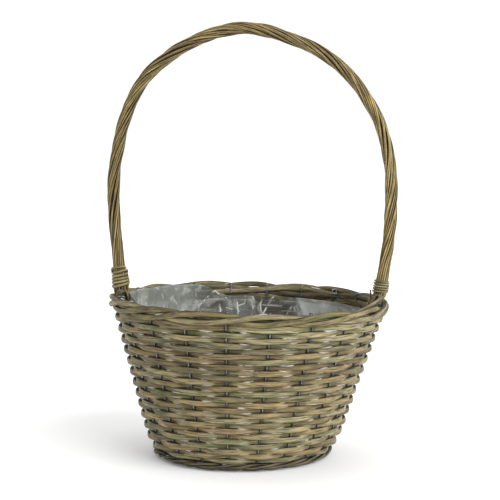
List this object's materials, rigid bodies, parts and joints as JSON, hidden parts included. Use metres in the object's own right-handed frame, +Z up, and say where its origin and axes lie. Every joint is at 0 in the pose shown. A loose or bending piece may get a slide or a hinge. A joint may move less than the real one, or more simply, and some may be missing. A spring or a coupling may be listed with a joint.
{
  "type": "woven basket",
  "caption": "Round flared basket of split willow woven on steel wire uprights, with a tall fixed twisted hoop handle and a clear film liner.",
  "frame": {"origin": "middle of the base, on the floor that the basket stands on", "axes": "+Z up; the handle's hoop stands over the X axis, its wider shoulder at +X; -Y is the front"},
  "size_m": [0.3104, 0.2944, 0.4636],
  "materials": {
    "split_willow": "split willow, dry, with a worn pale wash",
    "border_willow": "whole willow rods, peeled and dry, with a worn pale wash",
    "handle_willow": "whole willow rods, peeled and dry",
    "base_willow": "whole willow rods, dry and unwashed",
    "dark_willow": "thin willow rods, dark and dry",
    "willow_skein": "shaved willow skein, slightly shiny",
    "galvanised_wire": "dull galvanised wire",
    "clear_film": "thin creased translucent plastic film"
  },
  "bodies": {
    "root": {"base_round_01": "base_willow", "base_round_02": "base_willow", "base_round_03": "base_willow", "base_round_04": "base_willow", "base_round_05": "base_willow", "base_round_06": "base_willow", "base_round_07": "base_willow", "base_round_08": "base_willow", "base_round_09": "base_willow", "base_round_10": "base_willow", "base_round_11": "base_willow", "base_round_12": "base_willow", "border_inner_rod_1": "border_willow", "border_inner_rod_2": "border_willow", "border_outer_rod_1": "border_willow", "border_outer_rod_2": "border_willow", "border_outer_rod_3": "border_willow", "foot_ring": "dark_willow", "foot_wale": "dark_willow", "frame_wires_lower": "galvanised_wire", "frame_wires_upper": "galvanised_wire", "handle_binding_left": "willow_skein", "handle_binding_right": "willow_skein", "handle_core": "handle_willow", "handle_rod_1": "handle_willow", "handle_rod_2": "handle_willow", "handle_rod_3": "handle_willow", "handle_rod_4": "handle_willow", "handle_rod_5": "handle_willow", "handle_rod_6": "handle_willow", "handle_rod_7": "handle_willow", "handle_rod_8": "handle_willow", "liner": "clear_film", "upset_course": "split_willow", "wall_course_01": "split_willow", "wall_course_02": "split_willow", "wall_course_03": "split_willow", "wall_course_04": "split_willow", "wall_course_05": "split_willow", "wall_course_06": "split_willow", "wall_course_07": "split_willow", "wall_course_08": "split_willow", "wall_course_09": "split_willow", "wall_course_10": "split_willow", "wall_course_11": "split_willow", "wall_course_12": "split_willow", "wall_course_13": "split_willow", "wall_course_14": "split_willow", "wall_course_15": "split_willow", "wall_course_16": "split_willow", "wall_course_17": "split_willow", "wall_course_18": "split_willow", "wall_course_19": "split_willow", "wall_course_20": "split_willow", "wall_course_21": "split_willow", "wall_course_22": "split_willow", "wall_course_23": "split_willow", "wall_course_24": "split_willow", "wall_course_25": "split_willow"}
  },
  "joints": []
}
